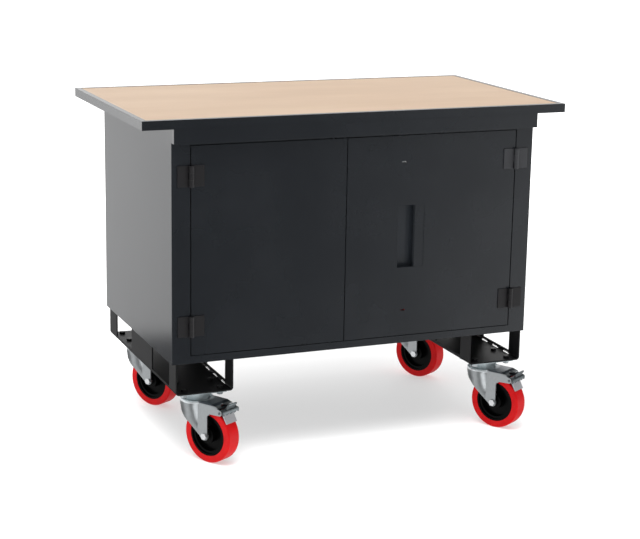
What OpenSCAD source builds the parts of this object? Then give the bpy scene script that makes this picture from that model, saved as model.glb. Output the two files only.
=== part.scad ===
// Lockable mobile workbench: a steel cupboard with two doors under a board-filled worktop,
// on two open channels that carry four swivel casters, the front two with brakes.
// X runs to the right, -Y is the front, +Z is up, and the floor is at z = 0.

/* [Worktop] */
// Width of the worktop
top_w = 1270; // [1150:10:1400]
// Depth of the worktop
top_d = 700; // [640:10:800]
// Height of the folded tray that edges the worktop
top_t = 25; // [20:1:32]
// Width of the steel rim round the board
rim_w = 15; // [8:1:24]
// How far the board lies below the rim
board_drop = 0.5; // [0:0.1:2]
// Gap between the board and the rim
board_gap = 0.5; // [0.2:0.1:2]

/* [Cupboard] */
// Thickness of the sheet steel
sheet = 2; // [1.5:0.5:3]
// Width of the cupboard
cab_w = 1094; // [1000:2:1140]
// Height of the cupboard under the worktop
cab_h = 655; // [560:5:760]
// How far the doors lie behind the worktop's front edge
front_setback = 26; // [20:1:40]
// How far the back panel lies inside the worktop's back edge
back_setback = 2; // [0:1:20]
// Width of the folded flanges that carry the worktop
flange_w = 25; // [20:1:35]
// Height of the fascia under the worktop's front edge
fascia_h = 41; // [30:1:45]
// How far the fascia lies behind the worktop's front edge
fascia_setback = 2; // [0:1:6]

/* [Front frame and doors] */
// Width of the stile beside each door
stile_w = 52.5; // [45:0.5:70]
// Height of the sill under the doors
sill_h = 21; // [16:1:40]
// Height of the header over the doors
header_h = 48; // [46:1:70]
// Depth of the folded frame behind the doors' faces
frame_depth = 28; // [26:1:40]
// Width of the stop that the doors close against
stop_w = 15; // [10:1:20]
// Gap round the doors
door_gap = 2; // [1.5:0.5:3]
// Gap at the hinged edge of a door
hinge_gap = 3; // [2:0.5:4]
// Depth of a door's folded edges
door_depth = 24; // [20:1:26]
// Place across the front where the doors meet
meet_x = -37; // [-60:1:60]
// Width of the stepped strip along the right door's free edge
strip_w = 42; // [30:1:60]
// How far that strip stands proud
strip_step = 1.5; // [1:0.5:2]
// Width of the upright behind the meeting doors
mullion_w = 56; // [50:1:80]
// Depth of that upright
mullion_depth = 26; // [20:1:40]
// Width of the hat-shaped stiffener in each door
stiffener_w = 60; // [40:2:90]
// Depth of the stiffener
stiffener_d = 16; // [12:1:18]

/* [Hinges] */
// Radius of the hinge knuckle
knuckle_r = 7; // [6:0.5:8]
// Radius of the hinge pin
hinge_pin_r = 3.5; // [3:0.5:4]
// Height of a hinge
hinge_h = 58; // [45:1:70]
// Distance of the first and last worktop bolts from the cupboard's front and back
worktop_bolt_in = 90; // [60:1:140]
// Distance of a sliding bolt's guide from the door's upper or lower edge, to its middle
guide_in = 72; // [60:1:90]
// Length of a guide's foot
guide_l = 72; // [70:1:90]
// Distance between a guide's two ears, middle to middle
guide_pitch = 66; // [50:1:66]
// Reach of a hinge leaf from the pin
leaf_w = 38; // [30:1:42]
// Thickness of a hinge leaf
leaf_t = 3; // [2:0.5:4]
// Distance of the upper hinges' middle under the doors' upper edge
hinge_z_high = 82; // [45:1:155]
// Height of the lower hinges' middle over the cupboard's base
hinge_z_low = 106; // [70:1:160]

/* [Handle and locks] */
// Place of the recessed handle's left edge
handle_x = 124; // [100:1:160]
// Width of the recessed handle
handle_w = 82; // [70:1:110]
// Height of the recessed handle
handle_h = 181; // [150:1:220]
// Height of the handle's lower edge over the cupboard's base
handle_z = 224; // [190:1:250]
// Depth of the handle's pocket behind the door's face
handle_depth = 29; // [26:1:34]
// Width of the grip plate over the pocket's right side
grip_w = 29; // [24:1:36]
// Place of the upper lock
lock_high_x = 138; // [120:1:200]
// Place of the lower lock
lock_low_x = 146; // [120:1:200]
// Distance of each keyhole from the door's nearer edge
lock_reach = 75; // [70:1:100]
// Width of a keyhole
key_w = 13; // [10:1:16]
// Height of a keyhole
key_h = 5; // [4:0.5:7]
// Width of a lock case
lock_w = 64; // [50:1:80]
// Depth of a lock case
lock_d = 18; // [16:1:20]
// Radius of the key barrel
barrel_r = 7; // [5:0.5:8]
// Width of a lock's bolt
bolt_w = 28; // [20:1:34]
// Thickness of a lock's bolt
bolt_t = 8; // [6:1:10]
// Travel of a lock's bolt and of a sliding bolt
bolt_throw = 20; // [15:1:25]
// Radius of the left door's sliding bolts
rod_r = 5; // [4:0.5:6]
// Length of a sliding bolt
rod_len = 120; // [100:5:160]

/* [Shelf] */
// Height of the shelf over the cupboard's base
shelf_z = 305; // [150:5:450]
// Width of the shelf brackets and of the shelf's folded edges
shelf_edge = 25; // [15:1:35]

/* [Channels] */
// Height of the channels
skid_h = 90; // [80:1:110]
// Width of a channel
skid_w = 168; // [160:1:190]
// Thickness of a channel
skid_t = 4; // [3:0.5:6]
// Outside bend radius of a channel
skid_r = 10; // [7:1:14]
// Distance of a channel from the cupboard's side
skid_inset = 10; // [4:1:20]
// Length of a window in a channel's wall
window_l = 165; // [120:5:200]
// Height of a window
window_h = 69; // [50:1:70]
// Height of a window over the channel's underside
window_z = 13; // [12:1:16]
// Post left in front of the front windows
post_front = 60; // [45:1:90]
// Post left behind the rear windows
post_back = 75; // [45:1:90]
// Length of a slot along the channel's right bend
slot_l = 34; // [20:1:45]
// Height of a slot
slot_h = 5; // [3:1:6]
// Pitch of the slots
slot_pitch = 68; // [60:1:100]

/* [Casters] */
// Height of a caster from the floor to its mounting face
caster_h = 205; // [200:1:225]
// Radius of the wheel
wheel_r = 80; // [70:1:82]
// Width of the tyre
tyre_w = 45; // [38:1:48]
// Radius of the tyre's edges
tyre_edge = 4; // [2:0.5:6]
// Radius where the tyre meets the core
core_r = 60; // [52:1:64]
// Distance of the axle behind the swivel
trail = 55; // [48:1:60]
// Heading of the casters, turned from straight to the front
heading = 31; // [0:1:60]
// Distance of the front swivels from the channel's front end
swivel_front = 64; // [60:1:80]
// Distance of the rear swivels from the channel's back end
swivel_back = 66; // [60:1:80]
// Width of the caster's plate
plate_w = 135; // [130:1:140]
// Depth of the caster's plate
plate_d = 110; // [104:1:116]
// Thickness of the caster's plate
plate_t = 5; // [4:0.5:6]
// Spacing of the plate's holes across
hole_x = 105; // [100:1:110]
// Spacing of the plate's holes front to back
hole_y = 80; // [76:1:84]
// Radius of the plate's bolts
fixing_r = 5; // [4:0.5:6]
// Outside half width of the fork
fork_half = 35; // [33:0.5:37]
// Thickness of the fork's plate
fork_t = 4; // [3:0.5:5]
// Radius of the swivel head
crown_r = 39; // [37:0.5:42]
// Radius of the axle sleeve
axle_r = 7.5; // [6:0.5:8]
// Radius of the axle bolt
axle_bolt_r = 6; // [5:0.5:6]
// Radius of the king pin
king_r = 8; // [6:0.5:9]

/* [Hidden] */
$fn = 64;
// A little more than nothing, for cuts that pass right through
eps = 0.5;
// Running clearance of a pin in its bore
run = 0.05;
// Clearance of a plate or bolt in its hole
fit = 0.25;
// Clearance between faces that pass each other
face_gap = 0.3;

// Levels
z_skid = caster_h;
z_cab = z_skid + skid_h;
z_under = z_cab + cab_h;
z_top = z_under + top_t;

// Cupboard
cab_x = cab_w / 2;
front_y = -top_d / 2 + front_setback;
back_y = top_d / 2 - back_setback;
in_x = cab_x - sheet;
open_x = cab_x - stile_w;
open_low = z_cab + sill_h;
open_high = z_under - header_h;
frame_back = front_y + frame_depth;

// Doors
door_x = open_x - hinge_gap;
door_low = open_low + door_gap;
door_high = open_high - door_gap;
door_back = front_y + door_depth;
sheet_back = front_y + sheet;
pin_x = open_x - hinge_gap / 2;
pin_y = front_y - knuckle_r - face_gap;
hinge_zs = [z_cab + hinge_z_low, door_high - hinge_z_high];
rod_x = meet_x - door_gap / 2 - 37;
rod_y = front_y + 13;
lock_y = front_y + 11;
lock_high_z = door_high - lock_reach;
lock_low_z = door_low + lock_reach;

// Channels and casters
skid_out = cab_x - skid_inset;
skid_in = skid_out - skid_w;
swivel_x = (skid_out + skid_in) / 2;
swivel_yf = front_y + swivel_front;
swivel_yb = back_y - swivel_back;
fork_in = fork_half - fork_t;
leg_r = 11.5;
crown_low = z_skid - 43;
crown_t = 6;
crown_top = crown_low + 13;
arm_top = crown_low + 13;
pivot_d = trail + 54;
pivot_z = wheel_r + 78;
pivot_r = 3.5;
eye_r = 8;
lip_half = fork_half - 1;
shoe_half = 22;
shoe_gap = 2;

// The front tyres reach further forward than the worktop, so the model is moved back to put
// the origin under the middle of its whole outline
tyre_reach = (wheel_r - tyre_edge) * cos(heading) + (tyre_w / 2 - tyre_edge) * sin(heading) + tyre_edge;
y_low = swivel_yf - trail * cos(heading) - tyre_reach;
y_move = -(top_d / 2 + min(y_low, -top_d / 2)) / 2;

// Colours
paint = "#33363a";
paint_dark = "#1d1e20";
wood = "#e2cba8";
zinc = "#b4bcc0";
black = "#141414";
red = "#d5191f";

module bench() {
    translate([0, y_move, 0])
        children();
}

// A box from its low corner to its high corner
module span(low, high) {
    translate(low)
        cube([high[0] - low[0], high[1] - low[1], high[2] - low[2]]);
}

// Draws its children and their mirror image across the middle of the bench
module both_sides() {
    children();
    mirror([1, 0, 0])
        children();
}

// Worktop
module worktop_tray() {
    color(paint) bench()
        difference() {
            span([-top_w / 2, -top_d / 2, z_under], [top_w / 2, top_d / 2, z_top]);
            span([-top_w / 2 + sheet, -top_d / 2 + sheet, z_under + sheet],
                 [top_w / 2 - sheet, top_d / 2 - sheet, z_top - sheet]);
            span([-top_w / 2 + rim_w, -top_d / 2 + rim_w, z_under + 2 * sheet],
                 [top_w / 2 - rim_w, top_d / 2 - rim_w, z_top + eps]);
            worktop_bolt_places()
                translate([0, 0, -eps])
                    cylinder(r = 4 + fit, h = sheet + 2 * eps);
        }
}

module worktop_board() {
    in = rim_w + board_gap;
    color(wood) bench()
        span([-top_w / 2 + in, -top_d / 2 + in, z_under + sheet],
             [top_w / 2 - in, top_d / 2 - in, z_top - board_drop]);
}

// Places of the bolts that hold the worktop to the side flanges, at the worktop's underside
module worktop_bolt_places() {
    inner = in_x - flange_w / 2;
    run_y = back_y - front_y - 2 * worktop_bolt_in;
    for (s = [-1, 1], k = [0:3])
        translate([s * inner, front_y + worktop_bolt_in + k * run_y / 3, z_under])
            children();
}

module worktop_bolts() {
    color(zinc) bench()
        worktop_bolt_places() {
            translate([0, 0, -sheet])
                cylinder(r = 4, h = 2 * sheet - 0.3);
            translate([0, 0, -sheet - 5.3])
                cylinder(r = 7.5, h = 5.3, $fn = 6);
        }
}

// Channel section behind the worktop's front edge, open at the back
module fascia() {
    low = z_under - fascia_h;
    y = -top_d / 2 + fascia_setback;
    color(paint) bench()
        difference() {
            span([-cab_x, y, low], [cab_x, front_y, z_under]);
            span([-cab_x + sheet, y + sheet, low + sheet], [cab_x - sheet, front_y + eps, z_under - sheet]);
        }
}

// Cupboard
module side_panel() {
    span([-cab_x, sheet_back, z_cab], [-in_x, back_y, z_under]);
    difference() {
        span([-in_x, frame_back + 6, z_under - sheet], [-in_x + flange_w, back_y - flange_w - 8, z_under]);
        worktop_bolt_places()
            translate([0, 0, -sheet - eps])
                cylinder(r = 4 + fit, h = sheet + 2 * eps);
    }
}

module side_left() {
    color(paint) bench() side_panel();
}

module side_right() {
    color(paint) bench() mirror([1, 0, 0]) side_panel();
}

module back_panel() {
    color(paint) bench() {
        span([-in_x, back_y - sheet, z_cab], [in_x, back_y, z_under]);
        span([-in_x, back_y - flange_w, z_under - sheet], [in_x, back_y - sheet, z_under]);
    }
}

module base_panel() {
    color(paint) bench()
        span([-in_x, sheet_back, z_cab], [in_x, back_y - sheet, z_cab + sheet]);
}

// Ring of sheet round the doorway, between two distances outside it
module doorway_ring(out, y0, y1, inn = 0) {
    difference() {
        span([-open_x - out, y0, open_low - out], [open_x + out, y1, open_high + out]);
        span([-open_x + inn, y0 - eps, open_low + inn], [open_x - inn, y1 + eps, open_high - inn]);
    }
}

// Folded frame: face, jambs that run back beside the doors, stops, and the upright behind
// the meeting doors. Its header and sill have the keeps that the bolts enter.
module front_frame() {
    mx = meet_x;
    color(paint) bench()
        difference() {
            union() {
                difference() {
                    span([-cab_x, front_y, z_cab], [cab_x, sheet_back, z_under]);
                    span([-open_x, front_y - eps, open_low], [open_x, sheet_back + eps, open_high]);
                }
                doorway_ring(sheet, front_y, frame_back);
                doorway_ring(sheet, frame_back - sheet, frame_back, stop_w);
                span([-in_x, sheet_back - eps, z_under - sheet], [in_x, sheet_back + flange_w, z_under]);
                difference() {
                    span([mx - mullion_w / 2, frame_back - sheet, open_low],
                         [mx + mullion_w / 2, frame_back + mullion_depth, open_high]);
                    span([mx - mullion_w / 2 + sheet, frame_back, open_low - eps],
                         [mx + mullion_w / 2 - sheet, frame_back + mullion_depth + eps, open_high + eps]);
                }
            }
            keep_hole(lock_high_x, open_high);
            keep_hole(lock_low_x, open_low - sheet);
            for (z = [open_high, open_low - sheet])
                translate([rod_x, rod_y, z - eps])
                    cylinder(r = rod_r + 1, h = sheet + 2 * eps);
        }
}

// Slot in the header or the sill for a lock's bolt
module keep_hole(x, z) {
    span([x - bolt_w / 2 - 1, lock_y - bolt_t / 2 - 1, z - eps],
         [x + bolt_w / 2 + 1, lock_y + bolt_t / 2 + 1, z + sheet + eps]);
}

// Shelf and its brackets
module shelf() {
    y0 = frame_back + mullion_depth + 8;
    y1 = back_y - sheet - 6;
    z1 = z_cab + shelf_z;
    color(paint) bench() {
        span([-in_x + 1, y0, z1 - sheet], [in_x - 1, y1, z1]);
        span([-in_x + 1, y0, z1 - shelf_edge], [in_x - 1, y0 + sheet, z1]);
        span([-in_x + 1, y1 - sheet, z1 - shelf_edge], [in_x - 1, y1, z1]);
    }
}

module shelf_brackets() {
    y0 = frame_back + mullion_depth + 16;
    y1 = back_y - sheet - 14;
    z1 = z_cab + shelf_z - sheet;
    color(paint) bench() both_sides() {
        span([-in_x, y0, z1 - sheet], [-in_x + shelf_edge, y1, z1]);
        span([-in_x, y0, z1 - shelf_edge], [-in_x + sheet, y1, z1]);
    }
}

// Channel that carries two casters: section, windows, slots along the right bend, bolt holes
module skid_section() {
    difference() {
        union() {
            translate([0, skid_r]) square([skid_w, skid_h - skid_r]);
            translate([skid_r, 0]) square([skid_w - 2 * skid_r, skid_r]);
            for (x = [skid_r, skid_w - skid_r])
                translate([x, skid_r]) circle(r = skid_r);
        }
        translate([skid_t, skid_r]) square([skid_w - 2 * skid_t, skid_h]);
        translate([skid_r, skid_t]) square([skid_w - 2 * skid_r, skid_h]);
        for (x = [skid_r, skid_w - skid_r])
            translate([x, skid_r]) circle(r = skid_r - skid_t);
    }
}

module skid(x0) {
    length = back_y - front_y;
    slots = floor((length - 2 * post_front) / slot_pitch);
    color(paint_dark) bench()
        difference() {
            translate([x0, back_y, z_skid])
                rotate([90, 0, 0])
                    linear_extrude(height = length)
                        skid_section();
            for (y = [front_y + post_front, back_y - post_back - window_l])
                span([x0 - eps, y, z_skid + window_z], [x0 + skid_w + eps, y + window_l, z_skid + window_z + window_h]);
            for (k = [0:slots - 1])
                span([x0 + skid_w - skid_t - 1, front_y + post_front + k * slot_pitch, z_skid + 2],
                     [x0 + skid_w + eps, front_y + post_front + k * slot_pitch + slot_l, z_skid + 2 + slot_h]);
            for (y = [swivel_yf, swivel_yb])
                plate_holes(x0 + skid_w / 2, y)
                    translate([0, 0, z_skid - eps])
                        cylinder(r = fixing_r + fit, h = skid_t + 2 * eps);
        }
}

module skid_left() {
    skid(-skid_out);
}

module skid_right() {
    skid(skid_in);
}

// Casters
// The four bolt places of one caster
module plate_holes(x, y) {
    for (i = [-1, 1], j = [-1, 1])
        translate([x + i * hole_x / 2, y + j * hole_y / 2, 0])
            children();
}

module caster_places() {
    for (x = [-swivel_x, swivel_x], y = [swivel_yf, swivel_yb])
        translate([x, y, 0])
            children();
}

// One plate: four holes, and the flared upper race that the swivel head turns on
module caster_plates() {
    race_r = crown_r - 4.5;
    race_z = crown_low + crown_t + face_gap;
    plate_z = z_skid - plate_t;
    color(zinc) bench()
        caster_places()
            difference() {
                union() {
                    span([-plate_w / 2, -plate_d / 2, z_skid - plate_t], [plate_w / 2, plate_d / 2, z_skid]);
                    translate([0, 0, race_z])
                        cylinder(r = race_r, h = plate_z - race_z);
                    translate([0, 0, crown_top + 3])
                        cylinder(r1 = race_r - 1, r2 = crown_r, h = plate_z - crown_top - 9);
                    translate([0, 0, plate_z - 6])
                        cylinder(r = crown_r, h = 6);
                }
                plate_holes(0, 0)
                    translate([0, 0, z_skid - plate_t - eps])
                        cylinder(r = fixing_r + fit, h = plate_t + 2 * eps);
                translate([0, 0, crown_low])
                    cylinder(r = king_r + run, h = z_skid);
            }
}

module caster_bolts() {
    color(black) bench()
        caster_places()
            plate_holes(0, 0) {
                translate([0, 0, z_skid - plate_t - 9])
                    cylinder(r = fixing_r, h = plate_t + skid_t + 10);
                translate([0, 0, z_skid + skid_t])
                    cylinder(r = 9.2, h = 6.4, $fn = 6);
            }
}

module caster_nuts() {
    color(zinc) bench()
        caster_places()
            plate_holes(0, 0)
                translate([0, 0, z_skid - plate_t - 8])
                    difference() {
                        cylinder(r = 9.2, h = 8, $fn = 6);
                        translate([0, 0, -eps])
                            cylinder(r = fixing_r + run, h = 9);
                    }
}

// King pins: riveted into the plates, with a head under each swivel head
module kingpins() {
    color(zinc) bench()
        caster_places() {
            translate([0, 0, crown_low - 8])
                cylinder(r = king_r + 5, h = 8 - face_gap);
            translate([0, 0, crown_low - 2])
                cylinder(r = king_r, h = z_skid - crown_low + 1.5);
        }
}

// Places a caster's own pieces: local X is the heading, the swivel axis is local Z
module at_caster(x, y) {
    translate([x, y, 0])
        rotate([0, 0, heading - 90])
            children();
}

// Side view of a fork leg, heading to the right; the front forks carry an arm over the wheel
module leg_side(brake) {
    top = crown_low + 2;
    front = trail + 9.5;
    difference() {
        union() {
            polygon([
                [-crown_r, top], [-32.5, top - 1], [-30.5, wheel_r + 77], [-22, wheel_r + 51],
                [-8, wheel_r + 35], [trail - 8.5, wheel_r - 7.7], [trail + 8.5, wheel_r - 7.7],
                [front, wheel_r], [front, top]
            ]);
            translate([trail, wheel_r]) circle(r = leg_r);
            if (brake)
                polygon([
                    [20, arm_top], [trail + 26, arm_top], [pivot_d + 2.4, pivot_z + 7.6],
                    [pivot_d, pivot_z - eye_r], [front, pivot_z - eye_r - 2], [20, pivot_z - eye_r - 2]
                ]);
            if (brake)
                translate([pivot_d, pivot_z]) circle(r = eye_r);
            if (brake)
                difference() {
                    translate([front - 1, pivot_z - eye_r - 13]) square([9, 12]);
                    translate([front + 8, pivot_z - eye_r - 13]) circle(r = 8);
                }
        }
        translate([trail, wheel_r]) circle(r = axle_bolt_r + run);
        if (brake)
            translate([pivot_d, pivot_z]) circle(r = pivot_r + run);
    }
}

// Plan of the fork: round behind the swivel, straight sides towards the axle
module fork_plan() {
    reach = trail + 80;
    difference() {
        union() {
            circle(r = fork_half);
            translate([0, -fork_half]) square([reach, 2 * fork_half]);
        }
        circle(r = fork_in);
        translate([0, -fork_in]) square([reach + 1, 2 * fork_in]);
    }
}

module fork(brake) {
    color(zinc)
        difference() {
            union() {
                intersection() {
                    translate([0, 0, wheel_r - 20])
                        linear_extrude(height = arm_top - wheel_r + 20)
                            fork_plan();
                    translate([0, crown_r, 0])
                        rotate([90, 0, 0])
                            linear_extrude(height = 2 * crown_r)
                                leg_side(brake);
                }
                translate([0, 0, crown_low])
                    rotate_extrude()
                        difference() {
                            union() {
                                translate([0, 0]) square([crown_r - 2, crown_top - crown_low]);
                                translate([0, 2]) square([crown_r, crown_top - crown_low - 4]);
                                for (z = [2, crown_top - crown_low - 2])
                                    translate([crown_r - 2, z]) circle(r = 2);
                            }
                            translate([-2, crown_t]) square([crown_r - 1, 40]);
                            translate([-2, -eps]) square([king_r + run + 2, 40]);
                            translate([-10, -eps]) square([10, 40]);
                        }
                if (brake)
                    hood();
            }
            translate([0, 0, 0])
                cylinder(r = king_r + run, h = z_skid);
        }
}

// Bridge over the arms of a braked fork, from the swivel head to the pedal, with a waist
module hood() {
    half = fork_half - 1;
    end = pivot_d - eye_r - 1;
    difference() {
        translate([0, half, 0])
            rotate([90, 0, 0])
                linear_extrude(height = 2 * half)
                    polygon([
                        [28, arm_top - 2], [28, arm_top + 3], [trail + 26, arm_top + 3],
                        [end, arm_top - 3], [end, arm_top - 7], [trail + 25, arm_top - 2]
                    ]);
        translate([end + 4, 0, arm_top - 20])
            cylinder(r = 15, h = 40);
        translate([0, 0, crown_low + crown_t])
            cylinder(r = crown_r - 2, h = 20);
    }
}

// Axle: bolt, sleeve and nut as one turned piece across the fork
module axle() {
    color(zinc)
        translate([trail, 0, wheel_r])
            rotate([90, 0, 0]) {
                translate([0, 0, -fork_in + face_gap])
                    cylinder(r = axle_r, h = 2 * (fork_in - face_gap));
                translate([0, 0, -fork_half - 2])
                    cylinder(r = axle_bolt_r, h = 2 * fork_half + 4);
                for (z = [-fork_half - 5, fork_half])
                    translate([0, 0, z])
                        cylinder(r = 10, h = 5, $fn = 6);
            }
}

// Half outline of the tyre: flat tread with rounded edges
module tyre() {
    w = tyre_w / 2;
    color(red)
        translate([trail, 0, wheel_r])
            rotate([90, 0, 0])
                rotate_extrude($fn = 96)
                    difference() {
                        union() {
                            translate([core_r + run, -w]) square([wheel_r - core_r - tyre_edge - run, tyre_w]);
                            translate([core_r + run, -w + tyre_edge])
                                square([wheel_r - core_r - run, tyre_w - 2 * tyre_edge]);
                            for (z = [-w + tyre_edge, w - tyre_edge])
                                translate([wheel_r - tyre_edge, z]) circle(r = tyre_edge);
                        }
                        translate([0, -w - 1]) square([core_r + run, tyre_w + 2]);
                    }
}

// Core: rim, stepped web, and hub with two bearing seats
module core() {
    w = tyre_w / 2;
    rim_t = 5;
    hub_r = 23;
    color(black)
        translate([trail, 0, wheel_r])
            rotate([90, 0, 0])
                difference() {
                    union() {
                        rotate_extrude($fn = 96)
                            difference() {
                                translate([hub_r - 4, -w + 1]) square([core_r - hub_r + 4, tyre_w - 2]);
                                for (s = [-1, 1]) {
                                    translate([hub_r, s > 0 ? 5 : -5 - w]) square([47 - hub_r, w]);
                                    translate([46, s > 0 ? w - 5 : -w]) square([core_r - rim_t - 46, 5]);
                                }
                            }
                        translate([0, 0, -w - 2])
                            cylinder(r = hub_r, h = tyre_w + 4);
                    }
                    translate([0, 0, -tyre_w])
                        cylinder(r = 13, h = 2 * tyre_w);
                    for (z = [-w - 2 - eps, w + 2 - 11])
                        translate([0, 0, z])
                            cylinder(r = 17.5, h = 11 + eps);
                }
}

module bearings() {
    w = tyre_w / 2;
    color(zinc)
        translate([trail, 0, wheel_r])
            rotate([90, 0, 0])
                for (z = [-w - 2, w + 2 - 11])
                    translate([0, 0, z])
                        difference() {
                            cylinder(r = 17.5 - run, h = 11);
                            translate([0, 0, -1])
                                cylinder(r = axle_r + run, h = 13);
                            for (f = [-0.5, 10.5])
                                translate([0, 0, f])
                                    difference() {
                                        cylinder(r = 15.5, h = 1);
                                        translate([0, 0, -1]) cylinder(r = 10.5, h = 3);
                                    }
                        }
}

module brake_pin() {
    color(zinc)
        translate([pivot_d, fork_half + 1.5, pivot_z])
            rotate([90, 0, 0])
                cylinder(r = pivot_r, h = 2 * fork_half + 3);
}

// Brake pedal: the eye on its pin lies between the fork's arms, the two lips in front of them
module pedal() {
    waves = 4;
    step = 2 * lip_half / waves;
    eye_half = fork_in - face_gap;
    color(zinc)
        translate([pivot_d, 0, pivot_z])
            difference() {
                union() {
                    across(eye_half)
                        circle(r = eye_r);
                    across(eye_half)
                        polygon([[-5, 2], [eye_r + 2, 20], [eye_r + 3, -3.2], [4, -5]]);
                    across(lip_half)
                        polygon([
                            [eye_r + 2, 20], [27, 34], [32, 34], [31, 29], [17, 15], [15, 10], [20, 9], [34, 19],
                            [37, 16.5], [33, 7], [25, -1], [eye_r + 2, -3.4]
                        ]);
                }
                across(lip_half + 1)
                    circle(r = pivot_r + run);
                for (k = [0:waves - 1], lip = [[30, 36], [37, 17]])
                    translate([lip[0] + 2, (k + 0.5) * step - lip_half, lip[1]])
                        rotate([0, -45, 0])
                            cylinder(r = step * 0.32, h = 22, center = true);
            }
}

// A side view drawn out to both sides of the fork's middle
module across(half) {
    translate([0, half, 0])
        rotate([90, 0, 0])
            linear_extrude(height = 2 * half)
                children();
}

// Side view of the shoe: a plate that leans away from the tread, its head under the rocker's eye
module shoe_side() {
    difference() {
        polygon([for (p = [[0, 33.5], [3, 33], [6.6, 45.5], [11, 51], [8, 54], [3.2, 46.5]])
            [trail + (wheel_r + shoe_gap + p[0]) * cos(p[1]), wheel_r + (wheel_r + shoe_gap + p[0]) * sin(p[1])]]);
        translate([pivot_d, pivot_z]) circle(r = eye_r + 0.6);
    }
}

module shoe() {
    color(zinc)
        translate([0, shoe_half, 0])
            rotate([90, 0, 0])
                linear_extrude(height = 2 * shoe_half)
                    shoe_side();
}

// Hinges
// A knuckle between two heights of one hinge
module knuckle(z0, z1, bore) {
    translate([0, 0, z0])
        difference() {
            cylinder(r = knuckle_r, h = z1 - z0);
            translate([0, 0, -eps])
                cylinder(r = bore, h = z1 - z0 + 2 * eps);
        }
}

// One leaf, reaching to +X from the pin. outer says that it holds the top and bottom knuckles.
module leaf(outer, bore) {
    third = hinge_h / 6;
    plate_y = knuckle_r + face_gap - leaf_t;
    difference() {
        union() {
            span([0, plate_y, -hinge_h / 2], [leaf_w, plate_y + leaf_t, hinge_h / 2]);
            if (outer) {
                knuckle(third, hinge_h / 2, bore);
                knuckle(-hinge_h / 2, -third, bore);
            } else
                knuckle(-third + face_gap, third - face_gap, bore);
        }
        if (outer)
            span([-1, 0, -third], [knuckle_r + 0.5, 20, third]);
        else
            for (s = [-1, 1])
                translate([0, 0, s * (third - face_gap + hinge_h / 2)])
                    span([-1, 0, -hinge_h / 2], [knuckle_r + 0.5, 20, hinge_h / 2]);
        translate([0, 0, -hinge_h])
            cylinder(r = bore, h = 2 * hinge_h);
    }
}

module hinge_frame_leaves() {
    color(paint) bench() both_sides()
        for (z = hinge_zs)
            translate([pin_x, pin_y, z])
                leaf(true, hinge_pin_r + run);
}

module hinge_pins() {
    color(paint) bench() both_sides()
        for (z = hinge_zs)
            translate([pin_x, pin_y, z - hinge_h / 2 - 1.5])
                cylinder(r = hinge_pin_r, h = hinge_h + 3);
}

module door_leaves(s) {
    color(paint) bench()
        for (z = hinge_zs)
            translate([s * pin_x, pin_y, z])
                mirror([s > 0 ? 1 : 0, 0, 0])
                    leaf(false, hinge_pin_r + run);
}

module door_left_leaves() {
    door_leaves(-1);
}

module door_right_leaves() {
    door_leaves(1);
}

// A door: a sheet folded back along its four edges
module door_tray(x0, x1) {
    difference() {
        span([x0, front_y, door_low], [x1, door_back, door_high]);
        span([x0 + sheet, sheet_back, door_low + sheet], [x1 - sheet, door_back + eps, door_high - sheet]);
    }
}

module door_left() {
    color(paint) bench()
        difference() {
            door_tray(-door_x, meet_x - door_gap / 2);
            for (z = [door_low, door_high - sheet])
                translate([rod_x, rod_y, z - eps])
                    cylinder(r = rod_r + 0.3, h = sheet + 2 * eps);
        }
}

module door_right() {
    x0 = meet_x + door_gap / 2;
    color(paint) bench()
        difference() {
            union() {
                door_tray(x0, door_x);
                span([x0, front_y - strip_step, door_low], [x0 + strip_w, front_y + eps, door_high]);
            }
            span([handle_x, front_y - 5, z_cab + handle_z],
                 [handle_x + handle_w, sheet_back + eps, z_cab + handle_z + handle_h]);
            keyhole(lock_high_x, lock_high_z);
            keyhole(lock_low_x, lock_low_z);
            bolt_slot(lock_high_x, door_high - sheet);
            bolt_slot(lock_low_x, door_low);
        }
}

// Round-ended slot in the right door's sheet, through which the key reaches its barrel
module keyhole(x, z) {
    translate([x, sheet_back + eps, z])
        rotate([90, 0, 0])
            linear_extrude(height = sheet + 2 * eps) {
                square([key_w - key_h, key_h], center = true);
                for (s = [-1, 1])
                    translate([s * (key_w - key_h) / 2, 0])
                        circle(r = key_h / 2);
            }
}

// Slot in a door's folded edge for a lock's bolt
module bolt_slot(x, z) {
    span([x - bolt_w / 2 - fit, lock_y - bolt_t / 2 - fit, z - eps],
         [x + bolt_w / 2 + fit, lock_y + bolt_t / 2 + fit, z + sheet + eps]);
}

// Hat section behind a door's sheet
module stiffener(x) {
    wing = 12;
    color(paint) bench()
        difference() {
            union() {
                span([x - stiffener_w / 2, sheet_back, door_low + 12], [x + stiffener_w / 2, sheet_back + sheet, door_high - 12]);
                span([x - stiffener_w / 2 + wing, sheet_back, door_low + 12],
                     [x + stiffener_w / 2 - wing, sheet_back + stiffener_d, door_high - 12]);
            }
            span([x - stiffener_w / 2 + wing + sheet, sheet_back - eps, door_low],
                 [x + stiffener_w / 2 - wing - sheet, sheet_back + stiffener_d - sheet, door_high]);
        }
}

module door_left_stiffener() {
    stiffener((meet_x - door_x) / 2);
}

module door_right_stiffener() {
    stiffener((handle_x + handle_w + door_x) / 2);
}

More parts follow.
